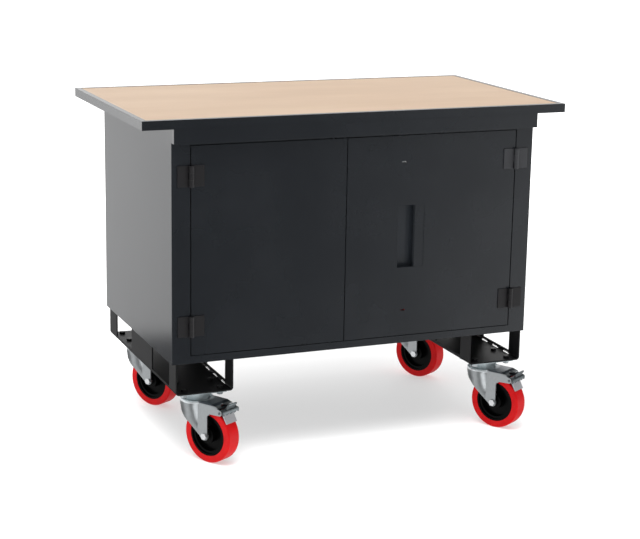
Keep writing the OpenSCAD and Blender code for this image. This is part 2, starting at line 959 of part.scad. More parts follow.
// Recessed handle: a pressed pocket behind the door's sheet, with a grip plate over its right side
module door_right_handle() {
    x0 = handle_x;
    x1 = handle_x + handle_w;
    z0 = z_cab + handle_z;
    z1 = z0 + handle_h;
    y1 = front_y + handle_depth;
    grip_y = front_y + 1;
    color(paint) bench() {
        difference() {
            span([x0 - 8, sheet_back, z0 - 8], [x1 + 8, y1, z1 + 8]);
            span([x0, front_y, z0], [x1, y1 - sheet, z1]);
            span([x0 - 9, sheet_back + sheet, z0 - 9], [x0 - sheet, y1 + eps, z1 + 9]);
            span([x1 + sheet, sheet_back + sheet, z0 - 9], [x1 + 9, y1 + eps, z1 + 9]);
            span([x0 - 9, sheet_back + sheet, z1 + sheet], [x1 + 9, y1 + eps, z1 + 9]);
            span([x0 - 9, sheet_back + sheet, z0 - 9], [x1 + 9, y1 + eps, z0 - sheet]);
        }
        span([x1 - grip_w, grip_y, z0 + face_gap], [x1 - face_gap, grip_y + 3, z1 - face_gap]);
        span([x1 - grip_w, grip_y, z0 + face_gap], [x1 - grip_w + 3, grip_y + 12, z1 - face_gap]);
        span([x1 - 3, grip_y, z0 + face_gap], [x1 - face_gap, sheet_back + sheet, z1 - face_gap]);
        span([x1 - 3, sheet_back + face_gap, z0 - 1], [x1 + 1, sheet_back + sheet, z1 + 1]);
    }
}

// Locks
// Lock case: a box with a slot for its bolt and a hole for the barrel; up says where it points
module lock_case(x, z, edge, up) {
    far = z - up * 31;
    low = min(far, edge);
    high = max(far, edge);
    y0 = sheet_back;
    y1 = sheet_back + lock_d;
    difference() {
        span([x - lock_w / 2, y0, low], [x + lock_w / 2, y1, high]);
        span([x - lock_w / 2 + sheet, y0 + sheet, low + sheet],
             [x + lock_w / 2 - sheet, y1 - sheet, high - sheet]);
        translate([x, y0 - eps, z])
            rotate([-90, 0, 0])
                cylinder(r = barrel_r + run, h = lock_d + 2 * eps);
        bolt_slot(x, up > 0 ? high - sheet : low);
    }
}

module lock_cases() {
    color(zinc) bench() {
        lock_case(lock_high_x, lock_high_z, door_high - sheet - face_gap, 1);
        lock_case(lock_low_x, lock_low_z, door_low + sheet + face_gap, -1);
    }
}

// Key barrel with its keyway and the cam that drives the bolt
module key_barrel(x, z) {
    color(zinc) bench()
        translate([x, sheet_back + face_gap, z])
            rotate([-90, 0, 0])
                difference() {
                    union() {
                        cylinder(r = barrel_r, h = lock_d + 1);
                        translate([0, 0, sheet + 1])
                            cylinder(r = barrel_r + 1.5, h = 2);
                        span([0, -3, sheet + 1], [13, 3, sheet + 3]);
                    }
                    span([-4.5, -1.2, -eps], [4.5, 1.2, 6]);
                }
}

module key_barrel_top() {
    key_barrel(lock_high_x, lock_high_z);
}

module key_barrel_bottom() {
    key_barrel(lock_low_x, lock_low_z);
}

// Bolt, drawn back into its case
module lock_bolt(x, edge, up) {
    length = 59;
    low = up > 0 ? edge - length - face_gap : edge + face_gap;
    color(zinc) bench()
        span([x - bolt_w / 2, lock_y - bolt_t / 2, low], [x + bolt_w / 2, lock_y + bolt_t / 2, low + length]);
}

module lock_bolt_top() {
    lock_bolt(lock_high_x, door_high, 1);
}

module lock_bolt_bottom() {
    lock_bolt(lock_low_x, door_low, -1);
}

// Guides of the left door's sliding bolts: two ears on a foot, for each bolt
module door_left_guides() {
    color(zinc) bench()
        for (up = [-1, 1]) {
            edge = up > 0 ? door_high : door_low;
            mid = edge - up * guide_in;
            difference() {
                union() {
                    span([rod_x - 14, sheet_back, mid - guide_l / 2], [rod_x + 14, sheet_back + sheet, mid + guide_l / 2]);
                    for (s = [-1, 1])
                        span([rod_x - 11, sheet_back, mid + s * guide_pitch / 2 - 3],
                             [rod_x + 11, rod_y + 9, mid + s * guide_pitch / 2 + 3]);
                }
                translate([rod_x, rod_y, mid - guide_l])
                    cylinder(r = rod_r + run, h = 2 * guide_l);
            }
        }
}

// Sliding bolt with its finger knob, drawn back
module sliding_bolt(up) {
    edge = up > 0 ? door_high : door_low;
    low = up > 0 ? edge - face_gap - rod_len : edge + face_gap;
    mid = edge - up * 76;
    color(zinc) bench()
        union() {
            translate([rod_x, rod_y, low])
                cylinder(r = rod_r, h = rod_len);
            translate([rod_x, rod_y, mid])
                rotate([-90, 0, 0])
                    cylinder(r = 4, h = 22);
        }
}

module left_bolt_top() {
    sliding_bolt(1);
}

module left_bolt_bottom() {
    sliding_bolt(-1);
}

// The casters' own pieces, one node each
module fork_fl() { bench() at_caster(-swivel_x, swivel_yf) fork(true); }
module axle_fl() { bench() at_caster(-swivel_x, swivel_yf) axle(); }
module tyre_fl() { bench() at_caster(-swivel_x, swivel_yf) tyre(); }
module core_fl() { bench() at_caster(-swivel_x, swivel_yf) core(); }
module bearings_fl() { bench() at_caster(-swivel_x, swivel_yf) bearings(); }
module brake_pin_fl() { bench() at_caster(-swivel_x, swivel_yf) brake_pin(); }
module pedal_fl() { bench() at_caster(-swivel_x, swivel_yf) pedal(); }
module shoe_fl() { bench() at_caster(-swivel_x, swivel_yf) shoe(); }
module fork_fr() { bench() at_caster(swivel_x, swivel_yf) fork(true); }
module axle_fr() { bench() at_caster(swivel_x, swivel_yf) axle(); }
module tyre_fr() { bench() at_caster(swivel_x, swivel_yf) tyre(); }
module core_fr() { bench() at_caster(swivel_x, swivel_yf) core(); }
module bearings_fr() { bench() at_caster(swivel_x, swivel_yf) bearings(); }
module brake_pin_fr() { bench() at_caster(swivel_x, swivel_yf) brake_pin(); }
module pedal_fr() { bench() at_caster(swivel_x, swivel_yf) pedal(); }
module shoe_fr() { bench() at_caster(swivel_x, swivel_yf) shoe(); }
module fork_bl() { bench() at_caster(-swivel_x, swivel_yb) fork(false); }
module axle_bl() { bench() at_caster(-swivel_x, swivel_yb) axle(); }
module tyre_bl() { bench() at_caster(-swivel_x, swivel_yb) tyre(); }
module core_bl() { bench() at_caster(-swivel_x, swivel_yb) core(); }
module bearings_bl() { bench() at_caster(-swivel_x, swivel_yb) bearings(); }
module fork_br() { bench() at_caster(swivel_x, swivel_yb) fork(false); }
module axle_br() { bench() at_caster(swivel_x, swivel_yb) axle(); }
module tyre_br() { bench() at_caster(swivel_x, swivel_yb) tyre(); }
module core_br() { bench() at_caster(swivel_x, swivel_yb) core(); }
module bearings_br() { bench() at_caster(swivel_x, swivel_yb) bearings(); }

worktop_tray();
worktop_board();
worktop_bolts();
fascia();
side_left();
side_right();
back_panel();
base_panel();
front_frame();
shelf();
shelf_brackets();
skid_left();
skid_right();
caster_plates();
caster_bolts();
caster_nuts();
kingpins();
hinge_frame_leaves();
hinge_pins();
door_left();
door_left_stiffener();
door_left_leaves();
door_left_guides();
left_bolt_top();
left_bolt_bottom();
door_right();
door_right_stiffener();
door_right_leaves();
door_right_handle();
lock_cases();
key_barrel_top();
key_barrel_bottom();
lock_bolt_top();
lock_bolt_bottom();
fork_fl();
axle_fl();
tyre_fl();
core_fl();
bearings_fl();
brake_pin_fl();
pedal_fl();
shoe_fl();
fork_fr();
axle_fr();
tyre_fr();
core_fr();
bearings_fr();
brake_pin_fr();
pedal_fr();
shoe_fr();
fork_bl();
axle_bl();
tyre_bl();
core_bl();
bearings_bl();
fork_br();
axle_br();
tyre_br();
core_br();
bearings_br();
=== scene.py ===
"""Lockable mobile workbench: looks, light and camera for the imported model.

Metres, unless a comment says otherwise. X runs to the right, -Y is the front with the doors, Z is up,
and the floor is at z = 0.
"""

import math

import bmesh
import bpy
from mathutils import Matrix, Vector

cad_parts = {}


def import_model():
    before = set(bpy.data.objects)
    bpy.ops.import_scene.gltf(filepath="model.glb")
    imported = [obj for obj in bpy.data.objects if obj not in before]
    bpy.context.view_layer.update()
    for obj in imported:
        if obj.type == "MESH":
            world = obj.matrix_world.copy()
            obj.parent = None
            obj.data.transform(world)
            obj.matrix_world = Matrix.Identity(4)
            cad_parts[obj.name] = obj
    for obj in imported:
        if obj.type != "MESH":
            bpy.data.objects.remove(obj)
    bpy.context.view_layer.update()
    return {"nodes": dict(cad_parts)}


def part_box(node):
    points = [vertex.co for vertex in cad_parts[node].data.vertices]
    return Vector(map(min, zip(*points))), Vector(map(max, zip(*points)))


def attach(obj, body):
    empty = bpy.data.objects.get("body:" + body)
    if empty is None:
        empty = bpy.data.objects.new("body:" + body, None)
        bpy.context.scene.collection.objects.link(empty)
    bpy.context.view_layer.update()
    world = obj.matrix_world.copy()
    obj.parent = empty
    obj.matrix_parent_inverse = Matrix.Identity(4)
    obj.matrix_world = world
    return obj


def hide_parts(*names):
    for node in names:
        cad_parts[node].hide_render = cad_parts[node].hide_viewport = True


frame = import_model()
nodes = frame["nodes"]

# Where the photograph was taken from, about the middle of the worktop's plan; turns in degrees
FOCAL_PX = 1659.2
PHOTO_WIDTH_PX = 640
SENSOR_MM = 36.0
CAMERA_AZIMUTH = -22.641
CAMERA_ELEVATION = 13.615
CAMERA_ROLL = 1.019
CAMERA_PLACE = (-1.8519, -4.4916, 1.6260)
# Worktop's front edge where the camera and the swivel axes are given from the worktop's middle
FRONT_Y = -0.350

# Swivel axes of the casters from the worktop's middle, and the way they trail, in degrees
SWIVELS = {"fl": (-0.453, -0.260), "fr": (0.453, -0.260), "bl": (-0.453, 0.282), "br": (0.453, 0.282)}
TRAIL_TURN = -59.0

# Fork in millimetres: half width over its flat sides, and to the middle of their sheet
FORK_HALF = 35.0
FORK_SHEET = 33.5
# Drum behind the swivel: height, half width, and the place along the trail where its wall ends
DRUM = ((87, 35.6, 29.6), (95, 37.0, 22), (103, 39.0, 14.5), (110, 41.0, 8), (118, 43.0, -2),
        (125, 44.4, -9), (131, 45.3, -15), (137, 46.0, -21), (143, 46.7, -29), (150, 47.3, -41),
        (156, 47.9, -52), (162, 48.6, -52), (168, 49.0, -52), (171, 48.8, -52))
# Place along the trail where the drum's wall starts, at the flat sides, and its steps round
DRUM_FRONT = 31.0
DRUM_STEPS = 28
# Rolled rim over the drum: radius and height of its section, and its steps round
FORK_RIM = ((36, 174.6), (41, 175.6), (43.5, 176.9), (46.0, 176.9), (48.0, 175.6), (49.0, 173.4),
            (49.0, 170), (36, 168))
FORK_RIM_STEPS = 72
# Edges between faces that turn more than this, in degrees, stay sharp on the fork's head
SHARP_TURN = 40
# Sheet under the hood's notch: reach along the trail, half width, lower and upper face
TONGUE_REACH = (84, 100)
TONGUE_HALF = 30.5
TONGUE_FACES = (163.5, 166.0)

# Brake pedal in millimetres: place of its pin, and the radius of the eye about it
PIN_D, PIN_Z = 109.0, 158.0
EYE_R = 8.0
# Lower jaw: half width, radii of its faces about the pin, its edges in degrees, and how far waves move them
JAW_HALF = 34.0
JAW_INSIDE_R, JAW_OUTSIDE_R = 11.0, 14.6
JAW_LOW, JAW_HIGH = -23, 34
JAW_LOW_WAVE, JAW_HIGH_WAVE = 12, 9
JAW_WAVES = 4
# Upper lip: half width, and how far its middle stands out
LIP_HALF = 18.0
LIP_BULGE = 3.0
# Steps across the jaw and the lip, round the jaw's section, and round the eye
JAW_STEPS, LIP_STEPS, SECTION_STEPS, EYE_STEPS = 48, 24, 8, 36
# Webs between pin and lip: outline, and the distances from the middle at which each starts and ends
WEB = ((109.0, 166.0), (114.5, 167.5), (120.0, 165.0), (121.5, 159.0), (120.5, 154.0), (112.0, 151.0))
WEB_START, WEB_HALF = 9.0, 30.6

# Slots along each channel's right bend: first one behind the channel's front end, pitch, length, heights,
# and those that go through the whole bend, three beside each window
SLOT_START, SLOT_PITCH, SLOT_LENGTH = 0.060, 0.068, 0.034
SLOT_LOW, SLOT_HIGH = 0.0020, 0.0056
SLOTS_THROUGH = (0, 1, 2, 5, 6, 7)
# How far a slot's cut reaches in from the channel's side and past it, slants back on its way in, and
# starts before the slot
SLOT_IN, SLOT_PAST, SLOT_SLANT, SLOT_LEAD = 0.014, 0.001, 0.010, 0.002

# Rounds of pressed edges: sheet, board, and the casters' and channels' steel
SHEET_ROUND = 0.0007
BOARD_ROUND = 0.0006
STEEL_ROUND = 0.0006

# Strength of the surroundings, as they light surfaces and as gloss reflects them
AMBIENT = 0.80
REFLECTED = 0.07
# Bright parts of the surroundings that gloss reflects: direction, cosines at which each starts and is
# full, and strength
GLOWS = (((0.87, -0.50, -0.36), 0.80, 0.98, 2.3),
         ((-1.0, 0.1, -0.1), 0.75, 0.98, 0.9),
         ((0, 0, -1), 0.40, 0.85, 0.8),
         ((-0.385, -0.923, -0.50), 0.92, 0.99, 2.2),
         ((0, 0, 1), 0.40, 0.85, 0.5))
# The wall behind in the same form, the height in the surroundings where it meets the dim floor, how soft
# that line is, and what is left of the glow under it
WALL_GLOW = ((-0.32, 0.93, 0.12), 0.76, 0.975, 1.06)
WALL_END, WALL_SOFT, UNDER_WALL = -0.2742, 0.0045, 0.13

# Lights: name, place, point that it faces, size, power in watts; the first lights the floor alone
FLOOR_LIGHT = ("over_floor", (-1.6, -1.9, 7.0), (0.1, 0.2, 0.0), (4.4, 4.4), 760)
LIGHTS = (("top", (0.3, -0.6, 3.2), (0.0, 0.0, 0.3), (3.4, 3.0), 18),
          ("left_back", (-3.2, 2.6, 1.3), (-0.4, 0.1, 0.4), (4.0, 2.4), 40),
          ("back", (0.8, 4.6, 1.7), (0.0, 0.2, 0.9), (6.0, 2.0), 68))

# Floor: half its side, depth under the tyres, and its glow near the bench, which grows to one between
# two distances from the middle
FLOOR_HALF = 30.0
FLOOR_DEPTH = 0.0005
FLOOR_GLOW = 0.44
FLOOR_GLOW_GROWS = (1.5, 4.0)

# Groups of nodes that share a finish
CASTERS = ("fl", "fr", "bl", "br")
GREY_PAINT = ("fascia", "back_panel", "base_panel", "front_frame", "shelf", "shelf_brackets", "door_left",
              "door_left_stiffener", "door_right", "door_right_stiffener")
SIDE_PAINT = ("side_left", "side_right")
HINGE_PAINT = ("hinge_frame_leaves", "hinge_pins", "door_left_leaves", "door_right_leaves")
BLACK_PAINT = ("skid_left", "skid_right")
BRIGHT_ZINC = ("caster_nuts", "worktop_bolts", "lock_cases", "lock_bolt_top", "lock_bolt_bottom",
               "door_left_guides", "left_bolt_top", "left_bolt_bottom")
FOLDED_SHEET = ("worktop_tray", "fascia", "side_left", "side_right", "back_panel", "front_frame",
                "door_left", "door_right", "door_right_handle")


def linear(*srgb):
    """Scene colour for a colour given as 0 to 255."""
    out = []
    for value in srgb:
        c = value / 255
        out.append(c / 12.92 if c <= 0.04045 else ((c + 0.055) / 1.055) ** 2.4)
    return (*out, 1.0)


# Cupboard's powder coat: its darker and lighter shade, and its roughness
PAINT_SHADES = (linear(26, 29, 33), linear(30, 33, 37))
PAINT_ROUGHNESS = 0.21
SIDE_ROUGHNESS = 0.08
# Handle's pocket: depths behind the door's face between which it is painted lighter, and that painted
# light, which lifts the pocket's shade
POCKET_DEPTHS = (0.0035, 0.06)
POCKET_PAINTED_LIGHT = linear(40, 44, 49)
# Top of the worktop's rim: how far down it counts, and its roughness
RIM_TOP = 0.0009
RIM_ROUGHNESS = 0.32
# Hinges' two colour tones, and where the upper right one is and the painted highlight that lightens it
HINGE_SHADES = (linear(24, 23, 25), linear(28, 27, 29))
LIT_HINGE_X, LIT_HINGE_Z = (0.3, 0.7), (0.6, 1.0)
LIT_HINGE_PAINTED_HIGHLIGHT = linear(52, 53, 56)
# Height of each key's middle, and half the height of the painted highlight line on its end
KEY_HIGH_Z, KEY_LOW_Z = 0.825, 0.393
KEY_PAINTED_GLINT_HALF = 0.0012
# Forks' plating, and the painted shade on the hood over a braked tyre, which lies in the channel's shade:
# distances from the swivel axis over which it starts, its heights, and its painted shade
FORK_SHADES = (linear(160, 164, 166), linear(170, 174, 176))
FORK_ROUGHNESS = 0.30
HOOD_STARTS = (0.044, 0.052)
HOOD_HEIGHTS = (0.1745, 0.20)
HOOD_PAINTED_SHADE = linear(66, 72, 78)


class Shader:
    """A Principled material with small helpers for its node tree."""

    def __init__(self, name, **settings):
        self.material = bpy.data.materials.new(name)
        self.material.use_nodes = True
        self.tree = self.material.node_tree
        self.surface = self.tree.nodes["Principled BSDF"]
        for socket, value in settings.items():
            self.surface.inputs[socket.replace("_", " ")].default_value = value
        self.place = self.tree.nodes.new("ShaderNodeTexCoord").outputs["Object"]

    def node(self, kind, **settings):
        made = self.tree.nodes.new(kind)
        for key, value in settings.items():
            setattr(made, key, value)
        return made

    def link(self, output, socket):
        self.tree.links.new(output, socket)

    def noise(self, scale, detail=2.0, roughness=0.5, stretch=None):
        made = self.node("ShaderNodeTexNoise")
        made.inputs["Scale"].default_value = scale
        made.inputs["Detail"].default_value = detail
        made.inputs["Roughness"].default_value = roughness
        source = self.place
        if stretch:
            mapping = self.node("ShaderNodeMapping")
            mapping.inputs["Scale"].default_value = stretch
            self.link(source, mapping.inputs["Vector"])
            source = mapping.outputs["Vector"]
        self.link(source, made.inputs["Vector"])
        return made.outputs["Fac"]

    def ramp(self, source, *stops):
        made = self.node("ShaderNodeValToRGB")
        marks = made.color_ramp.elements
        while len(marks) < len(stops):
            marks.new(0.5)
        for mark, (place, colour) in zip(marks, stops):
            mark.position = place
            mark.color = colour
        self.link(source, made.inputs["Fac"])
        return made.outputs["Color"]

    def spread(self, source, low, high):
        made = self.node("ShaderNodeMapRange")
        made.inputs["To Min"].default_value = low
        made.inputs["To Max"].default_value = high
        self.link(source, made.inputs["Value"])
        return made.outputs["Result"]

    def grown(self, source, start, end):
        """Zero up to one value of the source, one from another on."""
        made = self.node("ShaderNodeMapRange")
        made.inputs["From Min"].default_value = start
        made.inputs["From Max"].default_value = end
        self.link(source, made.inputs["Value"])
        return made.outputs["Result"]

    def product(self, one, other):
        made = self.node("ShaderNodeMath", operation="MULTIPLY")
        self.link(one, made.inputs[0])
        self.link(other, made.inputs[1])
        return made.outputs[0]

    def between(self, axis, low, high, soft=0.0004):
        """One between two places along an axis of the bench, none outside them."""
        split = self.node("ShaderNodeSeparateXYZ")
        self.link(self.place, split.inputs[0])
        along = split.outputs[axis]
        return self.product(self.grown(along, low - soft, low + soft),
                            self.grown(along, high + soft, high - soft))

    def mixed(self, factor, outside, inside):
        """The colour inside where factor is one; outside may be a colour or a node's output."""
        made = self.node("ShaderNodeMix", data_type="RGBA")
        self.link(factor, made.inputs["Factor"])
        for socket, value in ((made.inputs[6], outside), (made.inputs[7], inside)):
            if isinstance(value, tuple):
                socket.default_value = value
            else:
                self.link(value, socket)
        return made.outputs[2]

    def colour(self, output):
        self.link(output, self.surface.inputs["Base Color"])

    def rough(self, output):
        self.link(output, self.surface.inputs["Roughness"])

    def bump(self, source, depth, strength):
        made = self.node("ShaderNodeBump")
        made.inputs["Distance"].default_value = depth
        made.inputs["Strength"].default_value = strength
        self.link(source, made.inputs["Height"])
        self.link(made.outputs["Normal"], self.surface.inputs["Normal"])

    def mottled(self, shades, scale=5.0):
        """Slow drift between two shades."""
        return self.ramp(self.noise(scale, 3.0), (0.35, shades[0]), (0.65, shades[1]))

    def satin(self, roughness):
        """Slow drift about a roughness."""
        return self.spread(self.noise(9.0, 2.0), roughness - 0.03, roughness + 0.03)

    def orange_peel(self):
        self.bump(self.noise(420.0, 1.0), depth=0.00006, strength=0.35)


def paint(name, shades, roughness, gloss=0.5):
    """Smooth powder coat: a little drift in colour and gloss, and a fine orange peel."""
    shader = Shader(name, Specular_IOR_Level=gloss)
    shader.colour(shader.mottled(shades))
    shader.rough(shader.satin(roughness))
    shader.orange_peel()
    return shader.material


def handle_paint():
    """The cupboard's paint, with painted light in the handle's shallow pocket, lighter than its shade."""
    shader = Shader("paint_handle")
    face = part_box("door_right")[0][1]
    # Painted light: the pocket's colour is lighter, to lift the shade that falls in it
    pocket = shader.between("Y", *(face + depth for depth in POCKET_DEPTHS))
    shader.colour(shader.mixed(pocket, shader.mottled(PAINT_SHADES), POCKET_PAINTED_LIGHT))
    shader.rough(shader.satin(PAINT_ROUGHNESS))
    shader.orange_peel()
    return shader.material


def tray_paint():
    """The cupboard's paint, dulled along the top of the rim round the board."""
    shader = Shader("paint_tray")
    shader.colour(shader.mottled(PAINT_SHADES))
    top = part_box("worktop_tray")[1][2]
    rim = shader.between("Z", top - RIM_TOP, top + 0.01)
    dull = (RIM_ROUGHNESS, RIM_ROUGHNESS, RIM_ROUGHNESS, 1.0)
    shader.rough(shader.mixed(rim, shader.satin(PAINT_ROUGHNESS), dull))
    shader.orange_peel()
    return shader.material


def hinge_paint():
    """Satin paint of the hinges, with a painted highlight on the upper right one, which catches more light,
    as it does in the photograph.
    """
    shader = Shader("paint_hinge", Specular_IOR_Level=0.28)
    # Painted highlight: the upper right hinge's colour is lighter where it catches more light
    corner = shader.product(shader.between("X", *LIT_HINGE_X), shader.between("Z", *LIT_HINGE_Z))
    shader.colour(shader.mixed(corner, shader.mottled(HINGE_SHADES, 8.0), LIT_HINGE_PAINTED_HIGHLIGHT))
    shader.rough(shader.satin(0.46))
    shader.orange_peel()
    return shader.material


def key_end(name, middle, painted_glint, edge):
    """End of a key barrel seen through its slot: one narrow painted highlight line between dark rims."""
    shader = Shader(name)
    # Painted highlight: a lighter line across the middle of the key's end
    line = shader.between("Z", middle - KEY_PAINTED_GLINT_HALF, middle + KEY_PAINTED_GLINT_HALF)
    shader.colour(shader.mixed(line, edge, painted_glint))
    shader.rough(shader.spread(shader.noise(200.0, 2.0), 0.28, 0.34))
    return shader.material


def board():
    """Sealed birch board: pale, with faint long figure and a few darker flecks."""
    shader = Shader("board")
    figure = shader.noise(2.2, 4.0, 0.6, stretch=(0.55, 2.2, 1.0))
    base = shader.ramp(figure, (0.30, linear(210, 179, 148)), (0.52, linear(218, 188, 158)),
                       (0.72, linear(225, 197, 168)))
    grain = shader.noise(30.0, 5.0, 0.6, stretch=(0.25, 6.0, 1.0))
    fleck = shader.ramp(grain, (0.0, linear(236, 226, 214)), (1.0, linear(255, 255, 255)))
    flecked = shader.node("ShaderNodeMix", data_type="RGBA", blend_type="MULTIPLY")
    flecked.inputs["Factor"].default_value = 0.6
    shader.link(base, flecked.inputs[6])
    shader.link(fleck, flecked.inputs[7])
    shader.colour(flecked.outputs[2])
    shader.rough(shader.spread(grain, 0.42, 0.60))
    shader.bump(grain, depth=0.0001, strength=0.25)
    return shader.material


def moved_back():
    """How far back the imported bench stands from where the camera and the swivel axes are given."""
    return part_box("worktop_tray")[0][1] - FRONT_Y


def axis_of(corner):
    """Place of a caster's swivel axis on the floor."""
    x, y = SWIVELS[corner]
    return Vector((x, y + moved_back(), 0))


def painted_shade_on_hood(shader, corner):
    """One on the hood of a braked fork, where shade is painted as it lies in the channel's shade, none
    elsewhere.
    """
    x, y, _ = axis_of(corner)
    flat = shader.node("ShaderNodeVectorMath", operation="MULTIPLY")
    shader.link(shader.place, flat.inputs[0])
    flat.inputs[1].default_value = (1, 1, 0)
    away = shader.node("ShaderNodeVectorMath", operation="DISTANCE")
    shader.link(flat.outputs[0], away.inputs[0])
    away.inputs[1].default_value = (x, y, 0)
    return shader.product(shader.grown(away.outputs["Value"], *HOOD_STARTS),
                          shader.between("Z", *HOOD_HEIGHTS, soft=0.001))


def zinc(name, shades, roughness, metal=0.85, braked=None):
    """Zinc-plated pressed steel: bluish grey, with a soft cloudy bloom; braked names a hooded fork whose
    hood gets painted shade.
    """
    shader = Shader(name, Metallic=metal)
    cloud = shader.noise(140.0, 3.0, 0.55)
    plating = shader.ramp(cloud, (0.25, shades[0]), (0.75, shades[1]))
    if braked:
        # Painted shade: the hood's plating darkens where it lies under the channel
        plating = shader.mixed(painted_shade_on_hood(shader, braked), plating, HOOD_PAINTED_SHADE)
    shader.colour(plating)
    shader.rough(shader.spread(cloud, roughness - 0.02, roughness + 0.02))
    shader.bump(shader.noise(700.0, 2.0), depth=0.00002, strength=0.10)
    return shader.material


def moulded(name, shades, scale, roughness, grain, gloss):
    """Moulded plastic: slow drift in colour and gloss, and a fine grain."""
    shader = Shader(name, Specular_IOR_Level=gloss)
    drift = shader.noise(scale, 3.0)
    shader.colour(shader.ramp(drift, (0.30, shades[0]), (0.70, shades[1])))
    shader.rough(shader.spread(drift, *roughness))
    shader.bump(shader.noise(grain, 2.0), depth=0.00008, strength=0.3)
    return shader.material


def black_oxide():
    """Blackened bolt heads."""
    shader = Shader("black_oxide", Metallic=0.4)
    drift = shader.noise(90.0, 3.0)
    shader.colour(shader.ramp(drift, (0.30, linear(14, 14, 15)), (0.70, linear(28, 28, 30))))
    shader.rough(shader.spread(drift, 0.40, 0.55))
    return shader.material


def floor_material():
    """Pale matt floor that glows faintly near the bench and fades into the white surroundings."""
    shader = Shader("floor", Specular_IOR_Level=0.1, Roughness=0.9, Emission_Color=(1.0, 1.0, 1.0, 1.0))
    shader.colour(shader.ramp(shader.noise(1.5, 2.0), (0.0, (0.54, 0.54, 0.54, 1.0)),
                              (1.0, (0.56, 0.56, 0.56, 1.0))))
    away = shader.node("ShaderNodeVectorMath", operation="LENGTH")
    shader.link(shader.place, away.inputs[0])
    glow = shader.node("ShaderNodeMapRange", interpolation_type="SMOOTHSTEP")
    glow.inputs["From Min"].default_value, glow.inputs["From Max"].default_value = FLOOR_GLOW_GROWS
    glow.inputs["To Min"].default_value = FLOOR_GLOW
    shader.link(away.outputs["Value"], glow.inputs["Value"])
    shader.link(glow.outputs["Result"], shader.surface.inputs["Emission Strength"])
    return shader.material


def dress(material, *names):
    for name in names:
        slots = nodes[name].data.materials
        slots.clear()
        slots.append(material)


def rounded(item, width):
    """Small round along the sharp edges, so that they catch the light as pressed steel does."""
    edge = item.modifiers.new("edge", "BEVEL")
    edge.width = width
    edge.segments = 2
    edge.limit_method = "ANGLE"
    edge.angle_limit = math.radians(30)
    edge.use_clamp_overlap = True
    edge.harden_normals = True


def soften(width, *names):
    """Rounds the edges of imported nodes, once their flat faces are whole again."""
    for name in names:
        item = nodes[name]
        weld = item.modifiers.new("weld", "WELD")
        weld.merge_threshold = 0.00001
        flat = item.modifiers.new("flat", "DECIMATE")
        flat.decimate_type = "DISSOLVE"
        flat.angle_limit = math.radians(1)
        rounded(item, width)


def area_light(name, place, target, size, power, only=None):
    """A rectangular light that the camera doesn't see; only is the one collection that it lights."""
    data = bpy.data.lights.new(name, "AREA")
    data.shape = "RECTANGLE"
    data.size, data.size_y = size
    data.energy = power
    light = bpy.data.objects.new(name, data)
    light.location = place
    light.rotation_euler = (Vector(target) - Vector(place)).to_track_quat("-Z", "Y").to_euler()
    light.visible_camera = False
    bpy.context.scene.collection.objects.link(light)
    if only:
        light.light_linking.receiver_collection = only


def world():
    """A white studio. What glossy paint reflects is dim in front and bright at the right and behind."""
    made = bpy.data.worlds.new("studio")
    made.use_nodes = True
    tree = made.node_tree
    tree.nodes.clear()
    out = tree.nodes.new("ShaderNodeOutputWorld")
    path = tree.nodes.new("ShaderNodeLightPath")
    direction = tree.nodes.new("ShaderNodeTexCoord").outputs["Generated"]

    def background(strength=1.0):
        shown = tree.nodes.new("ShaderNodeBackground")
        shown.inputs["Color"].default_value = (1.0, 1.0, 1.0, 1.0)
        shown.inputs["Strength"].default_value = strength
        return shown

    def chosen(by, other, this):
        mix = tree.nodes.new("ShaderNodeMixShader")
        tree.links.new(path.outputs[by], mix.inputs["Fac"])
        tree.links.new(other.outputs[0], mix.inputs[1])
        tree.links.new(this.outputs[0], mix.inputs[2])
        return mix

    def combined(operation, one, other):
        """Sum or product of a node's output and another output or a number."""
        both = tree.nodes.new("ShaderNodeMath")
        both.operation = operation
        tree.links.new(one, both.inputs[0])
        if isinstance(other, float):
            both.inputs[1].default_value = other
        else:
            tree.links.new(other, both.inputs[1])
        return both.outputs["Value"]

    def glow(towards, start, full, strength):
        """Brightness that grows as the ray turns towards one side."""
        turned = tree.nodes.new("ShaderNodeVectorMath")
        turned.operation = "DOT_PRODUCT"
        turned.inputs[1].default_value = Vector(towards).normalized()
        tree.links.new(direction, turned.inputs[0])
        grown = tree.nodes.new("ShaderNodeMapRange")
        grown.interpolation_type = "SMOOTHSTEP"
        grown.inputs["From Min"].default_value = start
        grown.inputs["From Max"].default_value = full
        grown.inputs["To Max"].default_value = strength
        tree.links.new(turned.outputs["Value"], grown.inputs["Value"])
        return grown.outputs["Result"]

    def above(height, soft, low):
        """One above a height of the surroundings, low below it."""
        split = tree.nodes.new("ShaderNodeSeparateXYZ")
        tree.links.new(direction, split.inputs[0])
        step = tree.nodes.new("ShaderNodeMapRange")
        step.inputs["From Min"].default_value = height - soft
        step.inputs["From Max"].default_value = height + soft
        step.inputs["To Min"].default_value = low
        tree.links.new(split.outputs["Z"], step.inputs["Value"])
        return step.outputs["Result"]

    strength = combined("MULTIPLY", glow(*WALL_GLOW), above(WALL_END, WALL_SOFT, UNDER_WALL))
    strength = combined("ADD", strength, REFLECTED)
    for part in GLOWS:
        strength = combined("ADD", glow(*part), strength)
    reflected = background()
    tree.links.new(strength, reflected.inputs["Strength"])
    lit = chosen("Is Glossy Ray", background(AMBIENT), reflected)
    tree.links.new(chosen("Is Camera Ray", lit, background()).outputs[0], out.inputs["Surface"])
    bpy.context.scene.world = made


